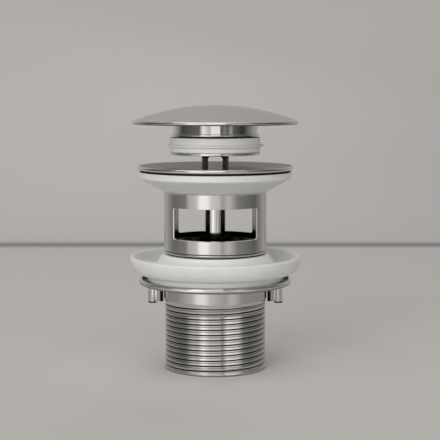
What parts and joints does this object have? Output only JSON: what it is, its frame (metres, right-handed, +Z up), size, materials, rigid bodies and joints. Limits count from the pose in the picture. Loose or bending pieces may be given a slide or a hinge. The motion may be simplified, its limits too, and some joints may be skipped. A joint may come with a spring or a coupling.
{
  "type": "sprung plug basin waste",
  "caption": "Flanged basin waste with overflow windows, soft clamping seals, ring nut, threaded tail and a sprung domed plug that is pressed to close and pressed again to open.",
  "frame": {"origin": "centre of the tail's bottom end", "axes": "+Z up the waste's axis towards the plug, -Y towards the front overflow window, the nut's lugs on X"},
  "size_m": [0.0688, 0.0688, 0.1058],
  "materials": {
    "satin_steel": "fine turned satin",
    "satin_tail": "fine turned satin",
    "satin_cap": "soft satin with a polished rim",
    "polished_steel": "mirror polished",
    "dark_steel": "dark satin",
    "plain_steel": "plain bright steel",
    "moulded_plastic": "natural moulded",
    "white_rubber": "white silicone",
    "white_plastic": "white moulded",
    "black_rubber": "matt"
  },
  "bodies": {
    "waste": {"upper_body": "satin_steel", "tail_piece": "satin_tail", "tail_gasket": "black_rubber", "ring_nut": "polished_steel", "slip_washer": "white_plastic", "cup_seal": "white_rubber", "flange_seal": "white_rubber", "guide_post": "polished_steel", "post_washer": "plain_steel", "post_nut": "plain_steel", "cam_plug": "moulded_plastic", "return_spring": "plain_steel"},
    "plug": {"plug_cap": "satin_cap", "plug_stud": "plain_steel", "plug_boss": "polished_steel", "plug_seal": "white_rubber", "seal_retainer": "polished_steel", "slide_sleeve": "dark_steel", "cross_pin": "plain_steel", "plunger": "moulded_plastic"},
    "latch": {"latch_rotor": "moulded_plastic"}
  },
  "joints": [
    {"name": "plug_slide", "type": "slide", "parent": "waste", "child": "plug", "axis": [0, 0, -1], "range_m": [0, 0.0105], "stiffness_N_per_m": 600, "springref_m": -0.008, "deforming": ["return_spring"]},
    {"name": "latch_turn", "type": "hinge", "parent": "plug", "child": "latch", "pos_m": [0, 0, 0.0763], "axis": [0, 0, 1], "range_deg": [-5, 65]}
  ],
  "couplings": [
    {"joint": "latch_turn", "follows": "plug_slide", "rad_per_m": 99.733}
  ]
}
